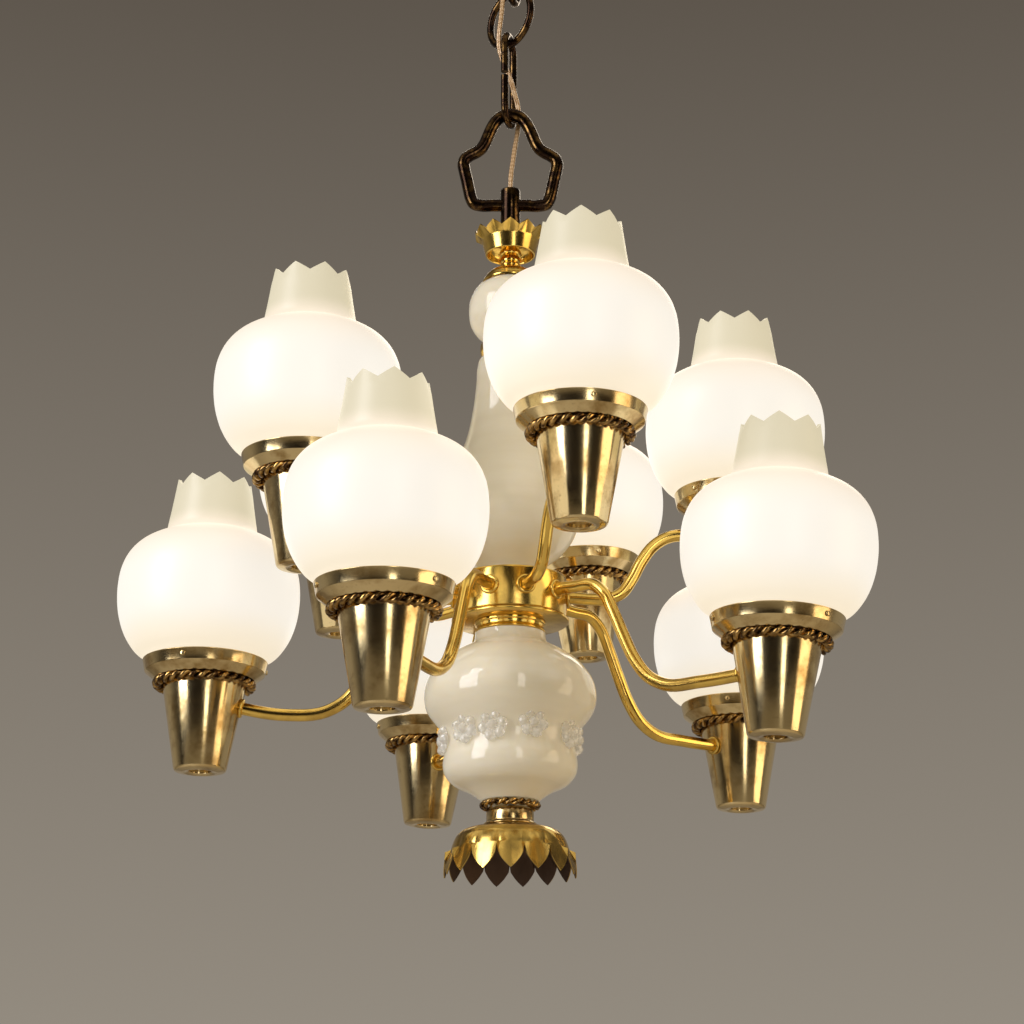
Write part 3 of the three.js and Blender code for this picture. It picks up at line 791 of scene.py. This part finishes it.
def lamp_masters():
    """The pieces of one lamp, with the gallery's rim at height 0"""
    gallery = turned("gallery", [[(33, -15.6), (40.6, -15.6)], [(40.6, -15.6), (42, -14.4), (47.6, -10)],
                                 [(47.6, -10), (48.3, -9.4), (48.6, -8.6)], [(48.6, -8.6), (50.2, -0.9)],
                                 [(50.2, -0.9), (50.4, -0.2), (49.9, 0.2)]], 0, 112, 1.2)
    cup = turned("cup", [[(0, -86.6), (8.4, -86.6)], [(8.4, -86.6), (8.8, -89.2)],
                         [(8.8, -89.2), (9.6, -89.7), (18.4, -89.7)],
                         [(18.4, -89.7), (20.2, -89.2), (21.3, -87.4)], [(21.3, -87.4), (34, -17)],
                         [(34, -17), (34.2, -15.4)]], 0, 112, 1.2)
    rope = twisted_wire("rope", 37.8, 2.1, 15, -19 * MM)
    holder = turned("holder", [[(0, -80), (13, -80)], [(13, -80), (14, -79)], [(14, -79), (14, -40)],
                               [(14, -40), (15.6, -39), (15.6, -36), (14, -35)], [(14, -35), (14, -13)],
                               [(14, -13), (13, -12), (11.6, -12)], [(11.6, -12), (11.6, -20)]], 0, 64)
    bulb = turned("bulb", [[(9.4, -19), (10.6, -8), (12, 4), (17, 18), (25, 33), (29.2, 48), (28, 62),
                            (22, 73), (12.4, 80), (0, 82.6)]], 0, 64)
    rise_attribute(bulb, 82.6)
    screw = turned("screw", [[(0, 0), (2, 0)], [(2, 0), (2, 1.1), (1.2, 1.5)], [(1.2, 1.5), (0, 1.5)]], 0, 24)
    flange = turned("flange", [[(5, 0), (7.2, 0)], [(7.2, 0), (7.9, 0.9), (7.5, 2.2), (6.4, 2.7), (5, 2.5)]],
                    0, 48)
    return {"gallery": gallery, "cup": cup, "rope": rope, "holder": holder, "bulb": bulb, "screw": screw,
            "flange": flange, "shade": shade_master()}


def lamp_place(n):
    """Where a lamp's rim is and how it leans, from its cup and the way that its shade lifts"""
    up = Vector(next(j["axis"] for j in frame["joints"] if j["name"] == f"shade_{n}_lift")).normalized()
    spots = [vertex.co for vertex in frame["nodes"][f"cup_{n}"].data.vertices]
    middle = sum(spots, Vector()) / len(spots)
    rim = middle + up * (max(spot.dot(up) for spot in spots) - middle.dot(up))
    return Matrix.Translation(rim) @ UP.rotation_difference(up).to_matrix().to_4x4()


# How far each shade's crown is turned in its gallery, in degrees
SHADE_TURNS = [-3.5, -9, 18, 7, -15, 20, 4, 14, 25, 11]


def lamp(n, masters, finishes):
    place = lamp_place(n)
    joint = place @ Vector((0, 0, -ARM_BELOW_RIM * MM))
    outwards = Vector((joint.x, joint.y, 0)).normalized()
    reach, height = joint.xy.length / MM, (joint.z - HUB) / MM
    rise = LOWER_RISE if n % 2 == 0 else UPPER_RISE
    route = [(44, ARM_HEIGHT), (52, ARM_HEIGHT), (64, 18.4), *rise, (reach - ARM_END, height)]
    line = smooth([outwards * r * MM + UP * (HUB + z * MM) for r, z in route], 6)
    arm = bar(f"arm_{n}_tube", line, ARM_TUBE, roundness=7)
    fit(arm, "lamp", finishes["brass"], [f"arm_{n}"])
    lying = outwards.to_track_quat("Z", "Y").to_matrix().to_4x4()
    at_drum = Matrix.Translation(outwards * DRUM_SIDE * MM + UP * (HUB + ARM_HEIGHT * MM)) @ lying
    fit(copy_at(masters["flange"], f"drum_flange_{n}", at_drum), "lamp", finishes["brass"])
    way_in = (line[-1] - line[-3]).normalized()
    at_cup = (Matrix.Translation(line[-1] - way_in * 0.2 * MM)
              @ (-way_in).to_track_quat("Z", "Y").to_matrix().to_4x4())
    fit(copy_at(masters["flange"], f"cup_flange_{n}", at_cup), "lamp", finishes["brass"])
    cup = copy_at(masters["cup"], f"cup_{n}_cone", place)
    fit(cup, "lamp", finishes["cup"], [f"cup_{n}"])
    gallery = copy_at(masters["gallery"], f"gallery_{n}", place)
    fit(gallery, "lamp", finishes["cup"])
    rope = copy_at(masters["rope"], f"rope_{n}", place)
    fit(rope, "lamp", finishes["rope"])
    fit(copy_at(masters["holder"], f"lampholder_{n}", place), "lamp", finishes["white"])
    fit(copy_at(masters["bulb"], f"bulb_{n}", place), "lamp", finishes["bulb"])
    for k in range(3):
        turn = Matrix.Rotation(math.radians(120 * k - 22 + 31 * n), 4, "Z")
        outside = (Matrix.Translation((0, -GRUB_SCREW_OUT * MM, -GRUB_SCREW_DOWN * MM))
                   @ Matrix.Rotation(math.radians(90), 4, "X"))
        screw = copy_at(masters["screw"], f"grub_screw_{n}_{k + 1}", place @ turn @ outside)
        fit(screw, "lamp", finishes["cup"])
    turn = Matrix.Rotation(math.radians(SHADE_TURNS[n - 1]), 4, "Z")
    shade = copy_at(masters["shade"], f"shade_{n}_glass", place @ turn)
    fit(shade, f"shade_{n}", finishes["opal"], [f"shade_{n}"])


# ---------------------------------------------------------------- stage and light

def stage():
    bpy.ops.object.select_all(action="DESELECT")
    bpy.ops.mesh.primitive_plane_add(size=14, location=(0, 0, -2.6))
    floor = bpy.context.object
    floor.name = "floor"
    bpy.ops.object.transform_apply(location=True, rotation=True, scale=True)
    floor.data.materials.append(pale_floor())


def softbox(name, turn, height, away, size, power, colour):
    """A soft light that faces the lamp. turn is in degrees from behind the camera towards +X"""
    data = bpy.data.lights.new(name, "AREA")
    data.shape = "RECTANGLE"
    data.size, data.size_y = size
    data.energy = power
    data.color = linear(colour)[:3]
    light = bpy.data.objects.new(name, data)
    angle = math.radians(turn)
    light.location = (away * math.sin(angle), -away * math.cos(angle), height)
    aim = Vector((0, 0, -0.6)) - light.location
    light.rotation_euler = aim.to_track_quat("-Z", "Y").to_euler()
    light.visible_camera = False
    bpy.context.scene.collection.objects.link(light)


def lighting():
    """A grey room with a tall window, a strip and fills. Metal mirrors the room's near side as a dark one"""
    world = bpy.data.worlds.new("grey room")
    world.use_nodes = True
    tree = world.node_tree
    way = add(tree, "TexCoord", {}).outputs["Generated"]
    parts = add(tree, "SeparateXYZ", {0: way})
    share = add(tree, "MapRange", {"Value": parts.outputs["Z"], "From Min": 0.05, "From Max": 0.55})
    wall = add(tree, "Mix", {0: share.outputs[0], 6: linear("#968E82"), 7: linear("#564E45")},
               data_type="RGBA")
    ceiling = add(tree, "MapRange", {"Value": parts.outputs["Z"], "From Min": 0.45, "From Max": 0.8})
    near = add(tree, "Mix", {0: ceiling.outputs[0], 6: linear("#1B1614"), 7: linear("#D8CDB8")},
               data_type="RGBA")
    behind = add(tree, "MapRange", {"Value": parts.outputs["Y"], "From Min": -0.25, "From Max": 0.35})
    seen = add(tree, "Math", {0: behind.outputs[0], 1: add(tree, "LightPath", {}).outputs["Is Camera Ray"]},
               operation="MAXIMUM")
    room = add(tree, "Mix", {0: seen.outputs[0], 6: near.outputs[2], 7: wall.outputs[2]}, data_type="RGBA")
    tree.links.new(room.outputs[2], tree.nodes["Background"].inputs["Color"])
    bpy.context.scene.world = world
    softbox("window", -56, 0.4, 3.6, (1.7, 3.2), 115, "#F4F4FA")
    softbox("strip", 14, -0.4, 3.9, (0.7, 3.0), 26, "#F6F0E6")
    softbox("warm_fill", 72, -0.5, 3.6, (2.0, 2.8), 42, "#FFE4BC")
    softbox("back", 168, 1.6, 3.1, (2.2, 1.2), 25, "#FFF1DC")
    bpy.context.scene.view_settings.view_transform = "Standard"


# ---------------------------------------------------------------- the whole

def build():
    set_camera()
    make_cord(clear_flex())
    brass = worn_metal("lacquered spun brass", "#ECC768", "#C4A256", roughness=(0.08, 0.20), patch_mm=30,
                       dull_share=0.35, dent_mm=16, dent_depth_mm=0.12)
    cup = worn_metal("aged plated brass", "#DEC896", "#A68A58", roughness=(0.08, 0.18), patch_mm=26,
                     dull_share=0.35, dent_mm=18, dent_depth_mm=0.12, specks=0.35)
    # Its dull colour lies in random patches over much of the wire, not in its grooves
    rope = worn_metal("twisted brass wire, dark in patches", "#C7A263", "#463220",
                      roughness=(0.13, 0.26), patch_mm=7, dull_share=0.62, dent_mm=6, dent_depth_mm=0.05,
                      specks=0.4)
    bronze = worn_metal("bronzed wire, rubbed", "#84663A", "#2C1F17", roughness=(0.10, 0.24), patch_mm=9,
                        dull_share=0.85, dent_mm=14, dent_depth_mm=0.05, specks=0.3)
    steel = worn_metal("zinc plated steel", "#A9A9A6", "#7F7E7A", roughness=(0.25, 0.45), patch_mm=12,
                       dull_share=0.4, dent_mm=10, dent_depth_mm=0.05, specks=0.1)
    # The petals' faces towards the axis take a dark colour, painted shade inside the bell
    pressed = worn_metal("pressed brass petals", "#DAB864", "#9C8246", roughness=(0.10, 0.24), patch_mm=26,
                         dull_share=0.45, dent_mm=12, dent_depth_mm=0.12, specks=0.2, shaded_inside_colour="#56453A")
    cream = cream_glass()
    white = porcelain()
    ceiling_fitting(steel, brass, white)
    chain(bronze)
    star_loop(bronze)
    upper_column(brass, cream)
    hub(brass)
    lower_column(brass, pressed, cup, rope, cream, clear_glass(), steel)
    masters = lamp_masters()
    finishes = {"brass": brass, "cup": cup, "rope": rope, "white": white, "bulb": bulb_glass(),
                "opal": opal_glass()}
    for n in range(1, 11):
        lamp(n, masters, finishes)
    for master in masters.values():
        bpy.data.objects.remove(master)
    stage()
    lighting()


build()
